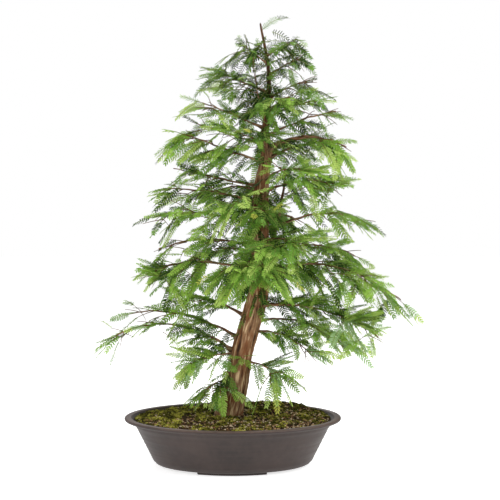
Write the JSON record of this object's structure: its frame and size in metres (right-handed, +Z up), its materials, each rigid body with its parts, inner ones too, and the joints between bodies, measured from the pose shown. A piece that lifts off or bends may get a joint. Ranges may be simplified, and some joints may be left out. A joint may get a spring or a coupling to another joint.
{
  "type": "potted dawn redwood bonsai",
  "caption": "Bonsai conifer with a leaning, tapering trunk, layered feathery green sprays and a low oval brown pot that it stands in.",
  "frame": {"origin": "middle of the whole plant's footprint, on the ground under the pot's feet", "axes": "+Z up the tree, +X along the pot's long side to the right, +Y to the back"},
  "size_m": [0.4636, 0.3264, 0.633],
  "materials": {
    "pot": "matt dark brown, like unglazed clay",
    "soil": "dark soil with moss and grit",
    "bark": "peeling reddish brown bark",
    "needles": "soft fresh green needles"
  },
  "bodies": {
    "root": {"pot": "pot", "soil": "soil", "trunk": "bark", "bough_leader": "bark", "bough_left_1": "bark", "bough_left_2": "bark", "bough_left_4": "bark", "bough_left_6": "bark", "bough_left_8": "bark", "bough_right_1": "bark", "bough_right_3": "bark", "bough_right_4": "bark", "bough_right_6": "bark", "bough_right_8": "bark", "mass_leader": "needles", "mass_low_left_1": "needles", "mass_low_left_2": "needles", "mass_low_right": "needles", "mass_left_1": "needles", "mass_left_2": "needles", "mass_left_3": "needles", "mass_left_4": "needles", "mass_left_5": "needles", "mass_left_6": "needles", "mass_left_7": "needles", "mass_left_8": "needles", "mass_left_9": "needles", "mass_left_10": "needles", "mass_left_11": "needles", "mass_left_12": "needles", "mass_left_13": "needles", "mass_upright_left": "needles", "mass_right_1": "needles", "mass_right_2": "needles", "mass_right_3": "needles", "mass_right_4": "needles", "mass_right_5": "needles", "mass_right_6": "needles", "mass_right_7": "needles", "mass_right_8": "needles", "mass_right_9": "needles", "mass_right_10": "needles", "mass_right_11": "needles", "mass_right_12": "needles", "mass_right_13": "needles", "mass_right_14": "needles", "mass_top_1": "needles", "mass_top_2": "needles", "mass_front_1": "needles", "mass_front_2": "needles", "mass_front_3": "needles", "mass_front_4": "needles", "mass_front_5": "needles", "mass_front_6": "needles", "mass_back_1": "needles", "mass_back_2": "needles", "mass_back_3": "needles", "mass_back_4": "needles", "mass_back_5": "needles", "mass_back_6": "needles"}
  },
  "joints": []
}
